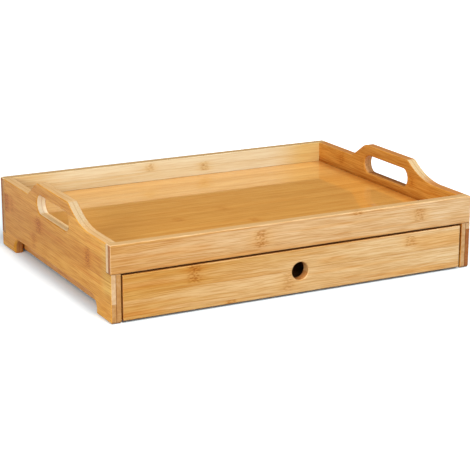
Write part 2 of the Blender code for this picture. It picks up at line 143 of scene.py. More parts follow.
def make_strip_group():
    """Where each glued strip lies: its tone, the glue lines beside it and between plies, its number."""
    tree, given, result = new_group(
        "bamboo_strips", floats("Strip Width", "Ply Thickness", "Seed"),
        floats("Tone", "Seam", "Joint", "Strip", "Ply"))
    parts = place(tree, "SeparateXYZ", {0: given["Place"]}).outputs
    layers = calc(tree, "DIVIDE", parts["Z"], given["Ply Thickness"])
    ply = calc(tree, "FLOOR", layers)
    lanes = calc(tree, "DIVIDE", parts["Y"], given["Strip Width"])
    lanes = calc(tree, "ADD", calc(tree, "MULTIPLY_ADD", ply, STRIP_STAGGER, lanes), given["Seed"])
    strip = calc(tree, "FLOOR", lanes)

    tone = calc(tree, "MULTIPLY_ADD", strip, TONE_STEP, calc(tree, "MULTIPLY", ply, PLY_TONE_STEP))
    tree.links.new(calc(tree, "FRACT", calc(tree, "ADD", tone, given["Seed"])), result["Tone"])
    tree.links.new(calc(tree, "MULTIPLY_ADD", ply, PLY_NUMBER_STEP, strip), result["Strip"])
    tree.links.new(ply, result["Ply"])

    for title, steps, size, width in (("Seam", lanes, given["Strip Width"], SEAM_WIDTH),
                                      ("Joint", layers, given["Ply Thickness"], JOINT_WIDTH)):
        from_middle = calc(tree, "ABSOLUTE", calc(tree, "SUBTRACT", calc(tree, "FRACT", steps), 0.5))
        from_edge = calc(tree, "MULTIPLY", calc(tree, "SUBTRACT", 0.5, from_middle), size)
        tree.links.new(calc(tree, "SUBTRACT", 1.0, ramp(tree, from_edge, 0.0, width)), result[title])
    return tree


def make_fibre_group():
    """The fibres in a strip: short dashes, streaks a few millimetres wide, flames and slow clouds."""
    tree, given, result = new_group(
        "bamboo_fibres", floats("Strip"), floats("Dash", "Streak", "Flame", "Cloud"))
    shift = place(tree, "CombineXYZ", {0: calc(tree, "MULTIPLY", given["Strip"], STRIP_SHIFT)}).outputs[0]
    moved = place(tree, "VectorMath", {0: given["Place"], 1: shift}, operation="ADD").outputs[0]
    bend = calc(tree, "SUBTRACT", grain_noise(tree, moved, (9.0, 25.0, 25.0), 0.0), 0.5)
    sway = place(tree, "CombineXYZ", {1: calc(tree, "MULTIPLY", bend, FIBRE_SWAY)}).outputs[0]
    moved = place(tree, "VectorMath", {0: moved, 1: sway}, operation="ADD").outputs[0]
    strokes = {
        "Dash": ((30.0, 1150.0, 1150.0), 0.44, 0.60),
        "Streak": ((7.0, 620.0, 620.0), 0.42, 0.62),
        "Flame": ((5.0, 150.0, 150.0), 0.54, 0.70),
        "Cloud": ((3.0, 60.0, 60.0), 0.35, 0.65)}
    for title, (stretch, low, high) in strokes.items():
        tree.links.new(ramp(tree, grain_noise(tree, moved, stretch), low, high), result[title])
    return tree


def make_knuckle_texture_group():
    """What knuckles share: the wavering of their line, and the short broken marks they are made of."""
    tree, given, result = new_group("bamboo_knuckle_texture", {}, floats("Waver", "Speckle"))
    waver = grain_noise(tree, given["Place"], (60.0, 190.0, 190.0), 3.0)
    speckle = grain_noise(tree, given["Place"], (210.0, 800.0, 800.0))
    tree.links.new(calc(tree, "SUBTRACT", waver, 0.5), result["Waver"])
    tree.links.new(ramp(tree, speckle, 0.45, 0.58), result["Speckle"])
    return tree


def make_knuckle_group():
    """One knuckle of the culm on one strip, added to those before it: broken marks in a warm halo."""
    tree, given, result = new_group(
        "bamboo_knuckle",
        floats("Waver", "Speckle", "Along", "Across", "Height", "Width", "Strength", "Marks", "Halo"),
        floats("Marks", "Halo"))
    parts = place(tree, "SeparateXYZ", {0: given["Place"]}).outputs
    beside = calc(tree, "SUBTRACT", parts["X"], given["Along"])
    beside = calc(tree, "MULTIPLY_ADD", given["Waver"], KNUCKLE_WAVER, beside)
    above = calc(tree, "ABSOLUTE", calc(tree, "SUBTRACT", parts["Y"], given["Across"]))
    reach = calc(tree, "SUBTRACT", calc(tree, "MULTIPLY", given["Height"], 0.5), above)
    inside = calc(tree, "MULTIPLY", ramp(tree, reach, -0.0008, 0.0020), given["Strength"])

    def bell(width, power):
        spread = calc(tree, "DIVIDE", calc(tree, "ABSOLUTE", beside), width)
        return calc(tree, "EXPONENT", calc(tree, "MULTIPLY", calc(tree, "POWER", spread, power), -1.0))

    broken = calc(tree, "MULTIPLY_ADD", given["Speckle"], 0.92, 0.08)
    marks = calc(tree, "MULTIPLY", calc(tree, "MULTIPLY", bell(given["Width"], 3.5), broken), inside)
    halo = calc(tree, "MULTIPLY", bell(calc(tree, "MULTIPLY", given["Width"], 2.0), 2.0), inside)
    tree.links.new(calc(tree, "MAXIMUM", marks, given["Marks"]), result["Marks"])
    tree.links.new(calc(tree, "MAXIMUM", halo, given["Halo"]), result["Halo"])
    return tree


def make_tongue_group():
    """A long tongue of another tint along the grain, soft all round, laid over those before it."""
    tree, given, result = new_group(
        "bamboo_tongue",
        {**floats("Along", "Across", "Length", "Height"), "Tint": "Color", "Tongues": "Color"},
        {"Tongues": "Color"})
    parts = place(tree, "SeparateXYZ", {0: given["Place"]}).outputs
    inside = 1.0
    for axis, middle, size, core in (("X", "Along", "Length", 0.35), ("Y", "Across", "Height", 0.5)):
        away = calc(tree, "ABSOLUTE", calc(tree, "SUBTRACT", parts[axis], given[middle]))
        share = calc(tree, "DIVIDE", away, calc(tree, "MULTIPLY", given[size], 0.5))
        inside = calc(tree, "MULTIPLY", inside, calc(tree, "SUBTRACT", 1.0, ramp(tree, share, core, 1.0)))
    laid = mixed(tree, 1.0, given["Tongues"], given["Tint"], blend="MULTIPLY")
    tree.links.new(mixed(tree, inside, given["Tongues"], laid), result["Tongues"])
    return tree


def make_finish_group():
    """Colour, roughness and relief of lacquered bamboo: its long faces, its cut edges and its ends."""
    tree, given, result = new_group(
        "bamboo_finish",
        {**floats("End", "Edge", "Crossed", "Upward", "Wear And Highlight", "Tone", "Seam", "Joint", "Ply", "Dash",
                  "Streak", "Flame", "Cloud", "Marks", "Halo", "Drift", "First End", "Second End",
                  "Contrast"),
         **dict.fromkeys(("Pale", "Deep", "Top", "Cut", "Worn And Highlit", "Tongues"), "Color")},
        {"Color": "Color", **floats("Roughness", "Height")})
    underside_shade_tint = (0.70, 0.55, 0.50, 1.0)
    joint_tint = (0.80, 0.66, 0.52)
    seam_tint = (0.62, 0.44, 0.29)
    halo_tint = (0.96, 0.84, 0.62)
    mark_tint = (0.66, 0.47, 0.29)
    fibre_tints = (("Flame", (0.93, 0.77, 0.52), 0.60), ("Streak", (0.90, 0.74, 0.53), 0.36),
                   ("Dash", (0.80, 0.64, 0.44), 0.80))
    end_pale = (0.80, 0.59, 0.36, 1.0)
    end_gold = (0.56, 0.295, 0.10, 1.0)
    end_dark = (0.38, 0.13, 0.035, 1.0)
    end_bundle_tint = (0.84, 0.72, 0.60)
    end_joint_tint = (0.42, 0.26, 0.16)
    end_seam_tint = (0.62, 0.46, 0.34)

    def tinted(colour, share, tint, strength=1.0):
        whole = mixed(tree, 1.0, colour, (*tint, 1.0), blend="MULTIPLY")
        return mixed(tree, calc(tree, "MULTIPLY", share, strength, clamp=True), colour, whole)

    share = calc(tree, "MULTIPLY_ADD", given["Cloud"], 0.4, 0.08)
    share = calc(tree, "MULTIPLY_ADD", given["Tone"], 0.45, share)
    share = calc(tree, "ADD", share, given["Drift"], clamp=True)
    face = mixed(tree, share, given["Pale"], given["Deep"])
    # Edges that look downwards take the deep colour darkened further: painted shade under the boards.
    below = mixed(tree, 1.0, given["Deep"], underside_shade_tint, blend="MULTIPLY")
    edge = mixed(tree, given["Upward"], below, given["Top"])
    edge = mixed(tree, given["Crossed"], edge, given["Cut"])
    edge = tinted(edge, calc(tree, "MULTIPLY", given["Joint"], given["Edge"]), joint_tint)
    colour = mixed(tree, given["Edge"], face, edge)
    # Rounded arrises are lifted to the cut colour: partly rubbing, partly a painted highlight along them.
    colour = mixed(tree, given["Wear And Highlight"], colour, given["Worn And Highlit"])
    plain = calc(tree, "SUBTRACT", 1.0, given["Edge"])
    fibres = calc(tree, "MULTIPLY", calc(tree, "MULTIPLY_ADD", plain, 0.55, 0.45), given["Contrast"])
    for title, tint, strength in fibre_tints:
        colour = tinted(colour, calc(tree, "MULTIPLY", given[title], fibres), tint, strength)
    toned = mixed(tree, 1.0, colour, given["Tongues"], blend="MULTIPLY")
    colour = mixed(tree, plain, colour, toned)
    colour = tinted(colour, given["Halo"], halo_tint)
    colour = tinted(colour, given["Marks"], mark_tint)
    colour = tinted(colour, calc(tree, "MULTIPLY", given["Seam"], plain), seam_tint, 0.5)

    bundles = ramp(tree, grain_noise(tree, given["Place"], (40.0, 1600.0, 1600.0), 1.0), 0.40, 0.62)
    patches = ramp(tree, grain_noise(tree, given["Place"], (40.0, 220.0, 220.0), 3.0), 0.35, 0.65)
    second = calc(tree, "MINIMUM", given["Ply"], 1.0)
    depth = between(tree, second, given["First End"], given["Second End"])
    depth = calc(tree, "MULTIPLY_ADD", calc(tree, "SUBTRACT", given["Tone"], 0.5), 0.12, depth)
    depth = calc(tree, "MULTIPLY_ADD", calc(tree, "SUBTRACT", patches, 0.5), 0.16, depth)
    end = mixed(tree, calc(tree, "MULTIPLY", depth, 2.0, clamp=True), end_pale, end_gold)
    end = mixed(tree, calc(tree, "MULTIPLY_ADD", depth, 2.0, -1.0, clamp=True), end, end_dark)
    end = tinted(end, bundles, end_bundle_tint, 0.5)
    end = tinted(end, given["Joint"], end_joint_tint)
    end = tinted(end, given["Seam"], end_seam_tint, 0.4)
    tree.links.new(mixed(tree, given["End"], colour, end), result["Color"])

    roughness = calc(tree, "MULTIPLY_ADD", given["Dash"], 0.05, LACQUER_ROUGHNESS)
    roughness = calc(tree, "MULTIPLY_ADD", given["Marks"], 0.06, roughness)
    tree.links.new(calc(tree, "MULTIPLY_ADD", given["End"], 0.15, roughness), result["Roughness"])
    height = calc(tree, "MULTIPLY_ADD", given["Dash"], -0.35, 1.0)
    height = calc(tree, "MULTIPLY_ADD", given["Seam"], -0.5, height)
    tree.links.new(calc(tree, "MULTIPLY_ADD", given["Marks"], -0.4, height), result["Height"])
    return tree


STRIPS = make_strip_group()
FIBRES = make_fibre_group()
KNUCKLE_TEXTURE = make_knuckle_texture_group()
KNUCKLE = make_knuckle_group()
TONGUE = make_tongue_group()
FINISH = make_finish_group()


def bamboo(name, grain, box, pale, deep, strip_width, ply_thickness, seed, top=None, cut=None,
           ends=((0.3, 0.3), (0.6, 0.6)), ends_meet=0.0245, drift=0.0, knuckles=(), tongues=(),
           contrast=1.0, wear_and_highlight=0.0, sheen=0.15, coat=0.0):
    """A lacquered bamboo board.

    grain names the axes along the grain, across it and through the board, such as "XZY", and box is the
    board's lowest and highest corner. The strips' colours lie between pale and deep, and contrast is how
    clearly their fibres show. top is the colour of an edge along the grain, and cut that of an edge that
    looks to the start of the grain. ends say how dark each ply's end grain is below and above ends_meet.
    drift is how much deeper the board is at the start of the grain than at its end. knuckles are (along,
    across, height, width, strength) and tongues are (along, across, length, height, tint), the first two
    in the frame. wear is how far the rounded arrises are lifted to the colour of the cut, partly as
    rubbing and partly as a painted highlight along them. sheen is how strongly the lacquer mirrors, and
    coat is the share of a second, glossier layer over it.
    """
    low, high = box
    material, tree, shader = new_material(name)
    coordinates = place(tree, "TexCoord").outputs
    start = Vector(low) - Vector((CORNER_MARGIN, CORNER_MARGIN, CORNER_MARGIN))
    offset = place(tree, "VectorMath", {0: coordinates["Object"], 1: start}, operation="SUBTRACT").outputs[0]
    parts = place(tree, "SeparateXYZ", {0: offset}).outputs
    where = place(tree, "CombineXYZ", {i: parts[axis] for i, axis in enumerate(grain)}).outputs[0]

    looks = place(tree, "SeparateXYZ", {0: coordinates["Normal"]}).outputs
    along = calc(tree, "ABSOLUTE", looks[grain[0]])
    startward = calc(tree, "MULTIPLY", looks[grain[0]], -1.0)
    through = calc(tree, "ABSOLUTE", looks[grain[2]])
    edge = calc(tree, "SUBTRACT", 1.0, ramp(tree, through, 0.20, 0.60))
    rounded = calc(tree, "MULTIPLY", ramp(tree, through, 0.25, 0.50),
                   calc(tree, "SUBTRACT", 1.0, ramp(tree, through, 0.80, 0.95)))

    axis = "XYZ".index(grain[0])
    length = high[axis] - low[axis]
    from_middle = calc(tree, "ABSOLUTE", calc(tree, "SUBTRACT", parts[grain[0]], length / 2))
    outermost = ramp(tree, from_middle, length / 2 - END_REACH, length / 2 - END_REACH / 2)
    end = calc(tree, "MULTIPLY", ramp(tree, along, 0.80, 0.95), outermost)
    onward = calc(tree, "SUBTRACT", 0.5, calc(tree, "DIVIDE", parts[grain[0]], length))

    strips = use_group(tree, STRIPS, {
        "Place": where, "Strip Width": strip_width, "Ply Thickness": ply_thickness, "Seed": seed})
    fibres = use_group(tree, FIBRES, {"Place": where, "Strip": strips["Strip"]})
    origin = dict(zip("XYZ", start))
    laid = (1.0, 1.0, 1.0, 1.0)
    for along_grain, across, reach, height, tint in tongues:
        laid = use_group(tree, TONGUE, {
            "Place": where, "Along": along_grain - origin[grain[0]], "Across": across - origin[grain[1]],
            "Length": reach, "Height": height, "Tint": (*tint, 1.0), "Tongues": laid})["Tongues"]
    marks, halo = 0.0, 0.0
    if knuckles:
        texture = use_group(tree, KNUCKLE_TEXTURE, {"Place": where})
        for along_grain, across, height, width, strength in knuckles:
            made = use_group(tree, KNUCKLE, {
                "Place": where, "Waver": texture["Waver"], "Speckle": texture["Speckle"],
                "Along": along_grain - origin[grain[0]], "Across": across - origin[grain[1]],
                "Height": height, "Width": width, "Strength": strength, "Marks": marks, "Halo": halo})
            marks, halo = made["Marks"], made["Halo"]

    cut_colour = (*(cut or pale), 1.0)
    above = calc(tree, "GREATER_THAN", parts[grain[1]], ends_meet)
    first_end, second_end = [between(tree, above, below_tone, above_tone) for below_tone, above_tone in ends]
    feeds = {"Place": where, "End": end, "Edge": edge, "Upward": ramp(tree, looks["Z"], -0.3, 0.3),
             "Crossed": ramp(tree, startward, 0.06, 0.42), "Cut": mixed(tree, above, LOW_CUT, cut_colour),
             "Wear And Highlight": calc(tree, "MULTIPLY", rounded, wear_and_highlight), "Worn And Highlit": cut_colour,
             "Marks": marks, "Halo": halo, "Tongues": laid, "Drift": calc(tree, "MULTIPLY", onward, drift),
             "Pale": (*pale, 1.0), "Deep": (*deep, 1.0), "Top": (*(top or deep), 1.0),
             "First End": first_end, "Second End": second_end, "Contrast": contrast}
    feeds.update({title: strips[title] for title in ("Tone", "Seam", "Joint", "Ply")})
    feeds.update({title: fibres[title] for title in ("Dash", "Streak", "Flame", "Cloud")})
    finish = use_group(tree, FINISH, feeds)
    relief = place(tree, "Bump", {"Strength": 0.25, "Distance": RELIEF_DEPTH, "Height": finish["Height"]})
    tree.links.new(finish["Color"], shader.inputs["Base Color"])
    tree.links.new(finish["Roughness"], shader.inputs["Roughness"])
    tree.links.new(relief.outputs[0], shader.inputs["Normal"])
    shader.inputs["Specular IOR Level"].default_value = sheen
    shader.inputs["Coat Weight"].default_value = coat
    shader.inputs["Coat Roughness"].default_value = COAT_ROUGHNESS
    return material


def dress(node, material):
    """Give a frame node that keeps its own shape its material."""
    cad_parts[node].material_slots[0].material = material


# The first tongue darkens the floor beside the right panel: painted shade in that corner. The second makes the
# back of the floor paler and greyer: a painted reflection of the back panel.
dress("tray_floor", bamboo(
    "tray_floor_bamboo", "XYZ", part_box("tray_floor"), pale=(0.86, 0.45, 0.105), deep=(0.72, 0.335, 0.062),
    strip_width=0.022, ply_thickness=0.0062, seed=0.31, contrast=0.7, coat=1.0,
    tongues=((0.242, 0.0, 0.05, 0.60, (0.74, 0.62, 0.50)), (0.0, 0.140, 1.2, 0.16, (0.98, 1.08, 1.40))),
    knuckles=((-0.013, -0.005, 0.020, 0.006, 0.35), (-0.002, -0.073, 0.020, 0.006, 0.5),
              (-0.088, -0.029, 0.020, 0.006, 0.4))))


# Side panels
# Two thick boards that carry the tray. Each is sawn to the swept outline with its feet, has its hand slot
# and arch cut with a rounding bit, and is notched for the front rail and the back panel.

HANDLE_SHIFT = -0.0045
HANDLE_RISE = 0.022
SLOT_LENGTH = 0.1075
SLOT_HEIGHT = 0.024
SLOT_CORNER_RADIUS = 0.0115
GRIP_HEIGHT = 0.0145
CREST_FRONT_RADIUS = 0.012
CREST_REAR_RADIUS = 0.020
SWEEP_ANGLE = math.radians(34)
SWEEP_RADIUS = 0.105
RAMP_ANGLE = math.radians(33)
VALLEY_RADIUS = 0.006
FOOT_LENGTH = 0.047
FOOT_HEIGHT = 0.020
ARCH_CORNER_RADIUS = 0.015
FOOT_CORNER_RADIUS = 0.004
ARRIS = 0.0012
SLOT_ROUNDOVER = 0.0025
ARCH_ROUNDOVER = 0.004
FOOT_ROUNDOVER = 0.003
FIT_GAP = 0.0003
OVERSHOOT = 0.004
ARC_TOLERANCE = 0.00001
EASE_SEGMENTS = 5
BORE_SEGMENTS = 32
SQUARE_ON = 0.99
SLOT_WALL_LEAN = 0.7
FACES_OUT = 0.5
SMOOTH_ANGLE = math.radians(32)
SIDE_STRIP_WIDTH = 0.026
RIGHT_TOP = (0.58, 0.26, 0.08)
RIGHT_CUT = (0.68, 0.51, 0.28)
SIDES = ("left", "right")
TWO_LEVELS = ("lower", "upper")
THREE_LEVELS = ("lower", "middle", "upper")

rail_low, rail_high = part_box("front_rail")
back_low, back_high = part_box("back_panel")
RIM = rail_high.z
GAP = Vector((FIT_GAP, FIT_GAP, FIT_GAP))


def as_object(name, bm):
    """Turn a bmesh into an object with outward faces."""
    bmesh.ops.recalc_face_normals(bm, faces=bm.faces)
    mesh = bpy.data.meshes.new(name)
    bm.to_mesh(mesh)
    bm.free()
    made = bpy.data.objects.new(name, mesh)
    bpy.context.scene.collection.objects.link(made)
    return made


def block(low, high):
    """A bmesh block between two opposite corners."""
    bm = bmesh.new()
    bmesh.ops.create_cube(bm, size=1.0)
    bmesh.ops.scale(bm, vec=Vector(high) - Vector(low), verts=bm.verts)
    bmesh.ops.translate(bm, vec=(Vector(low) + Vector(high)) / 2, verts=bm.verts)
    bm.normal_update()
    return bm


def draw_out(bm, face, way):
    """Grow a face of a bmesh into a solid that reaches along way."""
    grown = bmesh.ops.extrude_face_region(bm, geom=[face])
    moved = [item for item in grown["geom"] if isinstance(item, bmesh.types.BMVert)]
    bmesh.ops.translate(bm, vec=way, verts=moved)


def ease(bm, radius, chosen):
    """Round the edges that chosen(edge) picks."""
    edges = [edge for edge in bm.edges if chosen(edge)]
    bmesh.ops.bevel(bm, geom=edges, offset=radius, segments=EASE_SEGMENTS, profile=0.5, affect="EDGES")


def carve(target, *cutters):
    """Cut the target with each cutter, settle the result into its own mesh, and take the cutters away."""
    for cutter in cutters:
        boolean = target.modifiers.new(cutter.name, "BOOLEAN")
        boolean.operation = "DIFFERENCE"
        boolean.solver = "EXACT"
        boolean.object = cutter
    seen = target.evaluated_get(bpy.context.evaluated_depsgraph_get())
    target.data = bpy.data.meshes.new_from_object(seen)
    target.modifiers.clear()
    for cutter in cutters:
        bpy.data.objects.remove(cutter)


def room_for(node, *stretches):
    """A block cutter a fit gap larger than a frame node, lengthened by each (x, y, z) stretch."""
    low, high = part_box(node)
    low, high = low - GAP, high + GAP
    for stretch in stretches:
        for i, amount in enumerate(stretch):
            if amount < 0:
                low[i] += amount
            else:
                high[i] += amount
    return as_object(node + "_room", block(low, high))


def bores_for(nodes):
    """One cutter with a round hole, a fit gap larger than the peg, for each of some frame nodes."""
    bm = bmesh.new()
    for node in nodes:
        low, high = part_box(node)
        size = high - low
        axis = max(range(3), key=lambda i: size[i])
        direction = Vector([float(i == axis) for i in range(3)])
        turn = Vector((0, 0, 1)).rotation_difference(direction).to_matrix().to_4x4()
        radius = min(size) / 2 + FIT_GAP
        bmesh.ops.create_cone(
            bm, cap_ends=True, segments=BORE_SEGMENTS, radius1=radius, radius2=radius,
            depth=size[axis] + 2 * FIT_GAP, matrix=Matrix.Translation((low + high) / 2) @ turn)
    return as_object(nodes[0] + "_bores", bm)


def corner_dowels(kind, levels, sides=SIDES):
    """Names of the dowels that pin the rail or the back panel to the side panels."""
    return [f"{side}_{kind}_dowel_{level}" for side in sides for level in levels]


def shown(made, body, slot, material, *nodes):
    """Shade a finished piece, and let it stand for its frame nodes."""
    made.data.materials.clear()
    made.data.materials.append(material)
    made.data.shade_smooth()
    made.data.set_sharp_from_angle(angle=SMOOTH_ANGLE)
    weighted = made.modifiers.new("even_shading", "WEIGHTED_NORMAL")
    weighted.keep_sharp = True
    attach(made, body)
    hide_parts(*nodes)


def refinish(made, material, chosen):
    """Give the faces that chosen(face) picks another material."""
    made.data.materials.append(material)
    for face in made.data.polygons:
        if chosen(face):
            face.material_index = len(made.data.materials) - 1


def arc_steps(radius, angle):
    """How many chords keep an arc within the tolerance."""
    step = 2 * math.acos(max(0.0, 1 - ARC_TOLERANCE / radius))
    return max(2, math.ceil(abs(angle) / step))


def rounded_outline(corners, chords=None):
    """Points of a closed outline from (u, v, radius) corners, with an arc at each rounded corner."""
    places = [Vector((u, v)) for u, v, radius in corners]
    points = []
    for i, (u, v, radius) in enumerate(corners):
        if radius < ARC_TOLERANCE:
            points.append(places[i])
            continue
        before = (places[i - 1] - places[i]).normalized()
        after = (places[(i + 1) % len(corners)] - places[i]).normalized()
        opening = before.angle(after)
        tangent = radius / math.tan(opening / 2)
        centre = places[i] + (before + after).normalized() * (radius / math.sin(opening / 2))
        start = places[i] + before * tangent - centre
        sweep = start.angle_signed(places[i] + after * tangent - centre)
        steps = chords or arc_steps(radius, sweep)
        for step in range(steps + 1):
            points.append(centre + Matrix.Rotation(-sweep * step / steps, 2) @ start)
    return points


def rounded_rectangle(centre, length, height, radius, growth):
    """Points of a rectangle with round corners, grown outwards on every side."""
    u, v = length / 2 + growth, height / 2 + growth
    signs = ((-1, -1), (1, -1), (1, 1), (-1, 1))
    corners = [(centre[0] + right * u, centre[1] + up * v, radius + growth) for right, up in signs]
    return rounded_outline(corners, chords=arc_steps(radius, math.pi / 2))


def quarter_round(radius):
    """Steps of a quarter-round lip, as depth into the board and growth outwards, from the face inwards."""
    steps = arc_steps(radius, math.pi / 2)
    angles = [math.pi / 2 * step / steps for step in range(steps + 1)]
    return [(radius * (1 - math.cos(angle)), radius * (1 - math.sin(angle))) for angle in angles]


def lipped_cutter(name, ring_at, low, high, lip):
    """A through-cutter along one axis that widens to a quarter-round lip at both faces of the board."""
    lips = quarter_round(lip)
    stations = [(low - OVERSHOOT, lip)]
    stations += [(low + depth, growth) for depth, growth in lips]
    stations += [(high - depth, growth) for depth, growth in reversed(lips)]
    stations += [(high + OVERSHOOT, lip)]
    bm = bmesh.new()
    rings = [[bm.verts.new(point) for point in ring_at(spot, growth)] for spot, growth in stations]
    for ring, following in zip(rings, rings[1:]):
        for i in range(len(ring)):
            bm.faces.new((ring[i - 1], ring[i], following[i], following[i - 1]))
    bm.faces.new(rings[0])
    bm.faces.new(rings[-1])
    return as_object(name, bm)


def side_outline(low, high):
    """Outline of a side panel in Y and Z: feet at the bottom, and the handle swelling above the rim."""
    crest_front = HANDLE_SHIFT - SLOT_LENGTH / 2
    crest_rear = HANDLE_SHIFT + SLOT_LENGTH / 2
    return rounded_outline((
        (low.y, low.z, FOOT_CORNER_RADIUS),
        (high.y, low.z, FOOT_CORNER_RADIUS),
        (high.y, RIM, 0),
        (crest_rear + HANDLE_RISE / math.tan(RAMP_ANGLE), RIM, VALLEY_RADIUS),
        (crest_rear, high.z, CREST_REAR_RADIUS),
        (crest_front, high.z, CREST_FRONT_RADIUS),
        (crest_front - HANDLE_RISE / math.tan(SWEEP_ANGLE), RIM, SWEEP_RADIUS),
        (low.y, RIM, 0),
    ))


def side_board(name, low, high):
    """The sawn board: the outline, grown through the thickness and eased along both faces."""
    bm = bmesh.new()
    outline = bm.faces.new([bm.verts.new((low.x, y, z)) for y, z in side_outline(low, high)])
    draw_out(bm, outline, (high.x - low.x, 0, 0))
    bmesh.ops.recalc_face_normals(bm, faces=bm.faces)
    bm.normal_update()
    ease(bm, ARRIS, lambda edge: sum(abs(face.normal.x) > SQUARE_ON for face in edge.link_faces) == 1)
    return as_object(name, bm)


def opening_cutter(name, low, high, middle, size, radius, lip):
    """A cutter through a side panel for an oblong opening with round corners and soft lips."""
    def ring_at(x, growth):
        return [(x, y, z) for y, z in rounded_rectangle(middle, *size, radius, growth)]

    return lipped_cutter(name, ring_at, low.x, high.x, lip)


def slot_cutter(low, high):
    middle = (HANDLE_SHIFT, high.z - GRIP_HEIGHT - SLOT_HEIGHT / 2)
    size = (SLOT_LENGTH, SLOT_HEIGHT)
    return opening_cutter("hand_slot", low, high, middle, size, SLOT_CORNER_RADIUS, SLOT_ROUNDOVER)


def arch_cutter(low, high):
    size = (high.y - low.y - 2 * FOOT_LENGTH, 2 * FOOT_HEIGHT)
    return opening_cutter("foot_arch", low, high, (0, low.z), size, ARCH_CORNER_RADIUS, ARCH_ROUNDOVER)


def foot_edge_cutter(low, high):
    """Rounds the two long bottom edges of the feet, in one run from front to back."""
    bm = bmesh.new()
    for face_x, inwards in ((low.x, 1), (high.x, -1)):
        outside = face_x - inwards * OVERSHOOT
        section = [(face_x + inwards * depth, low.z + height)
                   for depth, height in quarter_round(FOOT_ROUNDOVER)]
        section += [(face_x + inwards * FOOT_ROUNDOVER, low.z - OVERSHOOT), (outside, low.z - OVERSHOOT),
                    (outside, low.z + FOOT_ROUNDOVER)]
        end = bm.faces.new([bm.verts.new((x, low.y - OVERSHOOT, z)) for x, z in section])
        draw_out(bm, end, (0, high.y - low.y + 2 * OVERSHOOT, 0))
    return as_object("foot_edges", bm)


def side_panel(side, body, material, slot_light_and_shade_material):
    """One side panel, cut as its neighbours need it. Its slot walls get their own painted light and shade."""
    node = side + "_side_panel"
    low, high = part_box(node)
    panel = side_board(side + "_panel", low, high)
    pegs = corner_dowels("rail", TWO_LEVELS, [side]) + corner_dowels("back", THREE_LEVELS, [side])
    pegs += [f"{side}_runner_screw_{i}" for i in (1, 2, 3)]
    slot = slot_cutter(low, high)
    slot_low = [min(corner[i] for corner in slot.bound_box) for i in range(3)]
    slot_high = [max(corner[i] for corner in slot.bound_box) for i in range(3)]
    carve(
        panel, slot, arch_cutter(low, high), foot_edge_cutter(low, high),
        room_for("front_rail", (-OVERSHOOT, -OVERSHOOT, 0), (OVERSHOOT, 0, OVERSHOOT)),
        room_for("back_panel", (-OVERSHOOT, 0, 0), (OVERSHOOT, OVERSHOOT, OVERSHOOT)),
        room_for("tray_floor"), bores_for(pegs))
    shown(panel, body, "side_panel_bamboo", material, node)

    def in_slot(face):
        inside = all(slot_low[i] < face.center[i] < slot_high[i] for i in range(3))
        return inside and abs(face.normal.x) < SLOT_WALL_LEAN

    refinish(panel, slot_light_and_shade_material, in_slot)
    return panel


left_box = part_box("left_side_panel")
PLY = (left_box[1].x - left_box[0].x + 2 * CORNER_MARGIN) / 2
# The left slot's walls are much paler than the panel's other cut edges: painted light on walls that little
# light reaches.
left_slot_painted_light_bamboo = bamboo(
    "left_slot_painted_light_bamboo", "YZX", left_box, pale=(0.92, 0.74, 0.50), deep=(0.80, 0.55, 0.28),
    strip_width=SIDE_STRIP_WIDTH, ply_thickness=PLY, seed=0.058, top=(1.0, 0.72, 0.36),
    cut=(0.98, 0.84, 0.60), contrast=0.5)
left_side_bamboo = bamboo(
    "left_side_bamboo", "YZX", left_box, pale=(0.82, 0.43, 0.075), deep=(0.60, 0.26, 0.025),
    strip_width=SIDE_STRIP_WIDTH, ply_thickness=PLY, seed=0.058, top=(0.70, 0.465, 0.225),
    cut=(0.59, 0.45, 0.27), ends=((0.55, 0.15), (0.52, 0.52)), contrast=1.2, drift=-0.45, sheen=0.065,
    tongues=((-0.1875, 0.062, 0.07, 0.08, (1.0, 1.22, 1.75)),),
    knuckles=((0.167, 0.064, 0.026, 0.0085, 1.0), (0.1457, 0.0665, 0.025, 0.005, 0.5),
              (0.0465, 0.0625, 0.023, 0.009, 1.0), (0.065, 0.0365, 0.021, 0.006, 0.6),
              (-0.118, 0.0645, 0.026, 0.007, 0.9)))
side_panel("left", "carcass", left_side_bamboo, left_slot_painted_light_bamboo)

right_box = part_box("right_side_panel")
# The right slot's walls, its floor most of all, are darker than the panel's other cut edges: painted shade
# inside the slot.
right_slot_shaded_bamboo = bamboo(
    "right_slot_shaded_bamboo", "YZX", right_box, pale=(0.70, 0.38, 0.14), deep=(0.52, 0.24, 0.07),
    strip_width=SIDE_STRIP_WIDTH, ply_thickness=PLY, seed=0.30, top=(0.50, 0.20, 0.05),
    cut=(0.70, 0.38, 0.15))
# The inner face is darker and redder than the outer face: partly the board's own tone, partly painted shade
# and warm bounce. Its tongue darkens the lower part next to the tray floor: painted shade in that corner.
right_inner_shaded_bamboo = bamboo(
    "right_inner_shaded_bamboo", "YZX", right_box, pale=(0.75, 0.37, 0.070), deep=(0.60, 0.285, 0.055),
    strip_width=SIDE_STRIP_WIDTH, ply_thickness=PLY, seed=0.30, top=RIGHT_TOP, cut=RIGHT_CUT,
    ends=((0.36, 0.36), (1.0, 0.25)), ends_meet=0.052, contrast=1.3,
    tongues=((0.0, 0.050, 0.75, 0.060, (0.58, 0.38, 0.18)),),
    knuckles=((0.110, 0.085, 0.0208, 0.006, 0.6), (-0.070, 0.090, 0.0208, 0.006, 0.6)))
right_outer_bamboo = bamboo(
    "right_outer_bamboo", "YZX", right_box, pale=(0.80, 0.47, 0.15), deep=(0.64, 0.31, 0.07),
    strip_width=SIDE_STRIP_WIDTH, ply_thickness=PLY, seed=0.63, top=RIGHT_TOP, cut=RIGHT_CUT,
    knuckles=((0.121, 0.060, 0.026, 0.008, 0.9), (-0.034, 0.034, 0.026, 0.008, 0.9),
              (-0.139, 0.062, 0.026, 0.007, 0.7)))
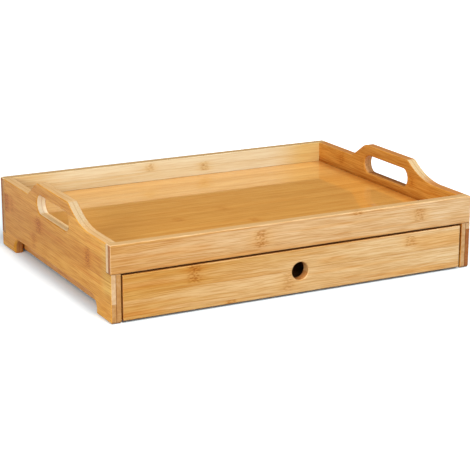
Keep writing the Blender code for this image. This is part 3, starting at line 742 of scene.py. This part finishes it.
right_panel = side_panel("right", "carcass", right_inner_shaded_bamboo, right_slot_shaded_bamboo)
refinish(right_panel, right_outer_bamboo, lambda face: face.normal.x > FACES_OUT)


# Front rail
# A low board across the front, lapped over the cut ends of the side panels, so its end grain shows at
# the corners. Its two plies are parted by a dark glue line along the top.

BOARD_STRIP_WIDTH = 0.024


def board(name, low, high, eased):
    """A straight board with its chosen edges rounded."""
    bm = block(low, high)
    ease(bm, ARRIS, eased)
    return as_object(name, bm)


def all_but_inner(inner_y):
    """Pick a board's edges, but for those of the face that looks inwards and of the two ends."""
    kept = (Vector((1, 0, 0)), Vector((-1, 0, 0)), Vector((0, inner_y, 0)))

    def chosen(edge):
        return not all(any(face.normal.dot(way) > SQUARE_ON for way in kept) for face in edge.link_faces)

    return chosen


rail = board("rail", rail_low, rail_high, all_but_inner(1))
carve(rail, room_for("tray_floor"), bores_for(corner_dowels("rail", TWO_LEVELS)))
# drift makes the rail paler towards its right end: partly the strips' own tone, partly a painted sheen of the
# light from the right. wear lifts its rounded arrises, partly as a painted highlight.
shown(rail, "carcass", "front_rail_bamboo", bamboo(
    "front_rail_bamboo", "XZY", (rail_low, rail_high), pale=(0.82, 0.59, 0.34), deep=(0.62, 0.33, 0.10),
    strip_width=BOARD_STRIP_WIDTH, ply_thickness=PLY, seed=0.646, top=(0.65, 0.42, 0.19),
    cut=(0.84, 0.62, 0.36), ends=((0.92, 0.92), (0.02, 0.02)), drift=0.95, wear_and_highlight=0.8,
    tongues=((-0.01, 0.0588, 0.64, 0.013, (0.97, 0.84, 0.64)),
             (-0.115, 0.0605, 0.17, 0.012, (0.99, 0.93, 0.81)),
             (-0.150, 0.078, 0.08, 0.012, (0.98, 0.89, 0.76)),
             (0.135, 0.0925, 0.10, 0.007, (0.98, 0.89, 0.76))),
    knuckles=((-0.0545, 0.078, 0.022, 0.008, 0.9), (0.1725, 0.080, 0.017, 0.008, 0.8),
              (0.081, 0.0925, 0.006, 0.007, 1.0))), "front_rail")


# Back panel
# A taller board across the back, lapped into the side panels like the rail. It hides the drawer's back
# end, and its bottom edge is level with the arch between the feet.

BACK_STRIP_WIDTH = 0.0215
BACK_TOP = (0.56, 0.36, 0.16)
BACK_ENDS = ((0.5, 0.5), (0.95, 0.95))

back = board("back", back_low, back_high, all_but_inner(-1))
carve(back, room_for("tray_floor"), bores_for(corner_dowels("back", THREE_LEVELS)))
# The inner face is paler and greyer than the outer face: partly the board's own tone, partly painted light
# from the front. The first tongue darkens the right end with painted shade and warm bounce from the right
# panel, the second darkens the left end, and the third is a thin painted shadow line where the tray floor
# meets the panel.
shown(back, "carcass", "back_panel_bamboo", bamboo(
    "back_panel_bamboo", "XZY", (back_low, back_high), pale=(0.79, 0.72, 0.52), deep=(0.71, 0.58, 0.35),
    strip_width=BACK_STRIP_WIDTH, ply_thickness=PLY, seed=0.15, top=BACK_TOP, ends=BACK_ENDS,
    contrast=0.45, drift=0.4, sheen=0.06,
    tongues=((0.25, 0.06, 0.20, 0.14, (0.93, 0.76, 0.43)), (-0.25, 0.06, 0.20, 0.14, (0.92, 0.80, 0.62)),
             (0.0, 0.0535, 1.0, 0.006, (0.93, 0.78, 0.50))),
    knuckles=((-0.036, 0.087, 0.012, 0.006, 0.6), (0.0484, 0.080, 0.014, 0.006, 0.7))), "back_panel")
refinish(back, bamboo(
    "back_outer_bamboo", "XZY", (back_low, back_high), pale=(0.82, 0.56, 0.27), deep=(0.66, 0.38, 0.12),
    strip_width=BACK_STRIP_WIDTH, ply_thickness=PLY, seed=0.83, top=BACK_TOP, ends=BACK_ENDS,
    knuckles=((-0.152, 0.072, 0.0215, 0.008, 0.8), (0.031, 0.050, 0.0215, 0.008, 0.8),
              (0.187, 0.031, 0.0215, 0.008, 0.7))), lambda face: face.normal.y > FACES_OUT)


# Drawer runners and the screws that hold them
# Narrow bamboo battens on the inner faces of the side panels. The grooves in the drawer's sides ride on
# them, and zinc-plated countersunk screws go through them into the panels.

HIDDEN_PALE = (0.80, 0.57, 0.31)
HIDDEN_DEEP = (0.68, 0.42, 0.18)


def steel(name):
    """Zinc-plated steel with faint turning marks."""
    material, tree, shader = new_material(name)
    bright, dull = (0.66, 0.64, 0.60, 1.0), (0.48, 0.47, 0.45, 1.0)
    where = place(tree, "TexCoord").outputs["Object"]
    turning = grain_noise(tree, where, (900.0, 900.0, 900.0))
    tree.links.new(mixed(tree, turning, bright, dull), shader.inputs["Base Color"])
    tree.links.new(calc(tree, "MULTIPLY_ADD", turning, 0.25, 0.25), shader.inputs["Roughness"])
    shader.inputs["Metallic"].default_value = 1.0
    return material


runner_bamboo = bamboo(
    "runner_bamboo", "YZX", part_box("left_drawer_runner"), pale=HIDDEN_PALE, deep=HIDDEN_DEEP,
    strip_width=0.012, ply_thickness=0.009, seed=0.2)
screw_steel = steel("screw_steel")
for side_name in SIDES:
    dress(side_name + "_drawer_runner", runner_bamboo)
    for i in (1, 2, 3):
        dress(f"{side_name}_runner_screw_{i}", screw_steel)


# Dowels
# Beech pegs that pin the carcass and the drawer together. They are turned, left bare, and glued into blind
# holes in both boards, so none of them shows once the tray is together.

def beech(name, grain):
    """Unfinished turned beech, with short dark flecks along the grain."""
    material, tree, shader = new_material(name)
    wood, fleck = (0.76, 0.58, 0.38, 1.0), (0.52, 0.32, 0.17, 1.0)
    parts = place(tree, "SeparateXYZ", {0: place(tree, "TexCoord").outputs["Object"]}).outputs
    where = place(tree, "CombineXYZ", {i: parts[axis] for i, axis in enumerate(grain)}).outputs[0]
    flecks = ramp(tree, grain_noise(tree, where, (300.0, 2200.0, 2200.0)), 0.55, 0.7)
    tree.links.new(mixed(tree, flecks, wood, fleck), shader.inputs["Base Color"])
    tree.links.new(calc(tree, "MULTIPLY_ADD", flecks, 0.1, 0.6), shader.inputs["Roughness"])
    return material


def drawer_dowels(kind):
    """Names of the dowels that pin the drawer's front or its back to its sides."""
    return [f"drawer_{kind}_dowel_{side}_{level}" for side in SIDES for level in TWO_LEVELS]


beech_along_y = beech("beech_along_y", "YZX")
beech_along_x = beech("beech_along_x", "XZY")
for peg in corner_dowels("rail", TWO_LEVELS) + corner_dowels("back", THREE_LEVELS) + drawer_dowels("front"):
    dress(peg, beech_along_y)
for peg in drawer_dowels("back"):
    dress(peg, beech_along_x)


# Drawer front
# The board that fills the opening below the rail, with a round hole for a finger instead of a knob.
# It is glued up like the rail, and pegged to the drawer's sides from behind.

FINGER_HOLE_DIAMETER = 0.0225
HOLE_ROUNDOVER = 0.0015

front_low, front_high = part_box("drawer_front")


def finger_hole_cutter(low, high):
    steps = 4 * arc_steps(FINGER_HOLE_DIAMETER / 2, math.pi / 2)
    angles = [2 * math.pi * step / steps for step in range(steps)]
    middle = (low.z + high.z) / 2

    def ring_at(y, growth):
        radius = FINGER_HOLE_DIAMETER / 2 + growth
        return [(radius * math.cos(angle), y, middle + radius * math.sin(angle)) for angle in angles]

    return lipped_cutter("finger_hole", ring_at, low.y, high.y, HOLE_ROUNDOVER)


def every_edge(edge):
    return True


front = board("front", front_low, front_high, every_edge)
carve(front, finger_hole_cutter(front_low, front_high), room_for("drawer_bottom"),
      bores_for(drawer_dowels("front")))
# Its very dark top colour paints shade on the edges that look up, most of all the top edge in the gap under
# the rail. drift makes it paler towards its right end: partly the strips' own tone, partly a painted sheen of
# the light from the right.
shown(front, "drawer", "drawer_front_bamboo", bamboo(
    "drawer_front_bamboo", "XZY", (front_low, front_high), pale=(0.84, 0.61, 0.335),
    deep=(0.64, 0.35, 0.09), strip_width=BOARD_STRIP_WIDTH, ply_thickness=PLY, seed=0.771,
    top=(0.42, 0.17, 0.045), cut=(0.62, 0.36, 0.14), ends=((0.8, 0.8), (0.9, 0.9)), drift=0.95,
    tongues=((0.215, 0.043, 0.15, 0.024, (0.97, 0.84, 0.64)),
             (0.175, 0.0075, 0.19, 0.008, (0.96, 0.80, 0.57)),
             (-0.215, 0.0095, 0.09, 0.008, (0.96, 0.80, 0.57)),
             (-0.205, 0.042, 0.11, 0.012, (0.98, 0.87, 0.71)),
             (0.045, 0.039, 0.06, 0.008, (0.98, 0.89, 0.76))),
    knuckles=((-0.143, 0.0465, 0.0225, 0.0085, 1.0), (-0.095, 0.005, 0.006, 0.006, 1.0),
              (-0.0165, 0.0187, 0.0235, 0.0075, 0.5), (0.1595, 0.0468, 0.015, 0.008, 0.75))),
      "drawer_front")


# Drawer box
# Two sides, grooved along their outer faces for the runners, a back between them, and a thin bottom held
# in grooves all round. The boards are glued up from bamboo like the rest, and left a little plainer.

RUNNER_GROOVE_DEPTH = 0.005
RUNNER_CLEARANCE = 0.0005
DRAWER_STRIP_WIDTH = 0.0231
DRAWER_PLY = 0.0105

# The drawer's sides are deeper and redder than its back: partly their own tone, partly painted shade where
# they show under the arch.
for side_name, side in zip(SIDES, (-1, 1)):
    node = f"drawer_{side_name}_side"
    low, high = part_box(node)
    wall = board(side_name + "_wall", low, high, every_edge)
    runner_low, runner_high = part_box(side_name + "_drawer_runner")
    outer = side * max(abs(low.x), abs(high.x))
    near, far = sorted((outer - side * RUNNER_GROOVE_DEPTH, outer + side * OVERSHOOT))
    groove = as_object("runner_groove", block(
        (near, low.y - OVERSHOOT, runner_low.z - RUNNER_CLEARANCE),
        (far, high.y + OVERSHOOT, runner_high.z + RUNNER_CLEARANCE)))
    carve(wall, groove, room_for("drawer_bottom"), bores_for(drawer_dowels("front")),
          bores_for(drawer_dowels("back")))
    shown(wall, "drawer", "drawer_box_bamboo", bamboo(
        f"drawer_{side_name}_bamboo", "YZX", (low, high), pale=(0.74, 0.36, 0.11), deep=(0.62, 0.26, 0.055),
        strip_width=DRAWER_STRIP_WIDTH, ply_thickness=DRAWER_PLY, seed=0.4 + 0.3 * side), node)

wall_low, wall_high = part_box("drawer_back")
drawer_back = board("rear_wall", wall_low, wall_high, every_edge)
carve(drawer_back, room_for("drawer_bottom"), bores_for(drawer_dowels("back")))
shown(drawer_back, "drawer", "drawer_box_bamboo", bamboo(
    "drawer_back_bamboo", "XZY", (wall_low, wall_high), pale=HIDDEN_PALE, deep=HIDDEN_DEEP,
    strip_width=DRAWER_STRIP_WIDTH, ply_thickness=DRAWER_PLY, seed=0.55,
    knuckles=((-0.12, 0.030, 0.0231, 0.006, 0.6), (0.09, 0.012, 0.0231, 0.006, 0.6))), "drawer_back")

dress("drawer_bottom", bamboo(
    "drawer_bottom_bamboo", "XYZ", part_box("drawer_bottom"), pale=(0.84, 0.66, 0.42), deep=(0.74, 0.53, 0.28),
    strip_width=BOARD_STRIP_WIDTH, ply_thickness=0.0055, seed=0.9, contrast=0.7,
    knuckles=((-0.10, -0.05, 0.024, 0.006, 0.5), (0.08, 0.06, 0.024, 0.006, 0.5))))


# The room
# A white table that shades off to pure white, a lamp high above the front and a low one at the left front,
# neither of them seen in the lacquer, and the camera at the photograph's place.

CAMERA_PLACE = (-0.9133, -1.7785, 0.5959)
CAMERA_PITCH = math.radians(-15.847)
CAMERA_TURN = math.radians(27.366)
CAMERA_LENS = 120.5
SENSOR_WIDTH = 36.0
FARTHEST_SEEN = 50.0
LAMP_AIM = (0, 0, 0.05)
TABLE_HALF = 8.0
TABLE_THICKNESS = 0.02
# Near the tray the table's white is tinted blue, which shows only in the shadow: a painted cool tint of the
# shadow.
NEAR_WHITE = (0.84, 0.94, 1.0, 1.0)
FAR_WHITE = (0.95, 0.95, 0.95, 1.0)
BOUNCE_GREY = (0.36, 0.36, 0.37, 1.0)
PURE_WHITE = (1.0, 1.0, 1.0, 1.0)
WHITENS_FROM = 0.28
WHITENS_TO = 1.0
PAINTED_LIFT_FROM = 0.228
PAINTED_LIFT_TO = 0.262


def white_table():
    """The table. Seen or mirrored it is nearly white, and the light that it throws back is dimmer."""
    corner = Vector((TABLE_HALF, TABLE_HALF, 0.0))
    table = as_object("table", block(-corner - Vector((0.0, 0.0, TABLE_THICKNESS)), corner))
    material, tree, shader = new_material("white_table")
    rays = place(tree, "LightPath").outputs
    looked_at = calc(tree, "MAXIMUM", rays["Is Camera Ray"], rays["Is Glossy Ray"])
    looked_at = calc(tree, "MAXIMUM", looked_at, rays["Is Transmission Ray"])
    where = place(tree, "TexCoord").outputs["Object"]
    distance = place(tree, "VectorMath", {0: where}, operation="LENGTH").outputs["Value"]
    far_off = ramp(tree, distance, WHITENS_FROM, WHITENS_TO)
    white = mixed(tree, far_off, NEAR_WHITE, FAR_WHITE)
    tree.links.new(mixed(tree, looked_at, BOUNCE_GREY, white), shader.inputs["Base Color"])
    sideways = calc(tree, "ABSOLUTE", place(tree, "SeparateXYZ", {0: where}).outputs["X"])
    # Past the tray's sides the table glows 0.3 brighter for the camera: painted light that narrows the shadow
    # beside the side panels.
    beside = ramp(tree, sideways, PAINTED_LIFT_FROM, PAINTED_LIFT_TO)
    lift = calc(tree, "MULTIPLY_ADD", beside, 0.3, calc(tree, "MULTIPLY_ADD", far_off, 0.98, 0.01))
    tree.links.new(calc(tree, "MULTIPLY", looked_at, lift), shader.inputs["Emission Strength"])
    shader.inputs["Emission Color"].default_value = PURE_WHITE
    shader.inputs["Roughness"].default_value = 0.9
    shader.inputs["Specular IOR Level"].default_value = 0.0
    table.data.materials.append(material)


def soft_lamp(name, spot, size, power, colour):
    """A rectangular lamp that looks at the tray and doesn't show in its gloss."""
    data = bpy.data.lights.new(name, "AREA")
    data.shape = "RECTANGLE"
    data.size, data.size_y = size
    data.energy = power
    data.color = colour
    lamp = bpy.data.objects.new(name, data)
    lamp.location = spot
    lamp.rotation_euler = (Vector(LAMP_AIM) - Vector(spot)).to_track_quat("-Z", "Y").to_euler()
    lamp.visible_glossy = False
    bpy.context.scene.collection.objects.link(lamp)


def studio_world():
    """Soft light from above and in front, dim and warm behind, and plain white for the camera."""
    in_front, warm_dark, above = (0.42, 0.43, 0.45, 1.0), (0.13, 0.08, 0.035, 1.0), (0.60, 0.61, 0.63, 1.0)
    world = bpy.data.worlds.new("studio")
    bpy.context.scene.world = world
    world.use_nodes = True
    tree = world.node_tree
    background = tree.nodes["Background"]
    way = place(tree, "SeparateXYZ", {0: place(tree, "TexCoord").outputs["Generated"]}).outputs
    colour = mixed(tree, ramp(tree, way["Y"], -0.1, 0.7), in_front, warm_dark)
    colour = mixed(tree, ramp(tree, way["Z"], 0.3, 0.9), colour, above)
    seen = place(tree, "LightPath").outputs["Is Camera Ray"]
    tree.links.new(mixed(tree, seen, colour, PURE_WHITE), background.inputs["Color"])
    background.inputs["Strength"].default_value = 1.0


white_table()
soft_lamp("front_lamp", spot=(0.04, -1.35, 2.25), size=(0.6, 1.2), power=45.0, colour=(1.0, 0.99, 0.97))
soft_lamp("left_lamp", spot=(-2.0, -1.35, 0.72), size=(1.0, 0.5), power=32.0, colour=(1.0, 0.98, 0.94))
studio_world()

camera = bpy.data.objects.new("camera", bpy.data.cameras.new("camera"))
camera.location = CAMERA_PLACE
camera.rotation_euler = (math.pi / 2 + CAMERA_PITCH, 0, -CAMERA_TURN)
camera.data.lens = CAMERA_LENS
camera.data.sensor_width = SENSOR_WIDTH
camera.data.clip_end = FARTHEST_SEEN
bpy.context.scene.collection.objects.link(camera)
bpy.context.scene.camera = camera
bpy.context.scene.view_settings.view_transform = "Standard"
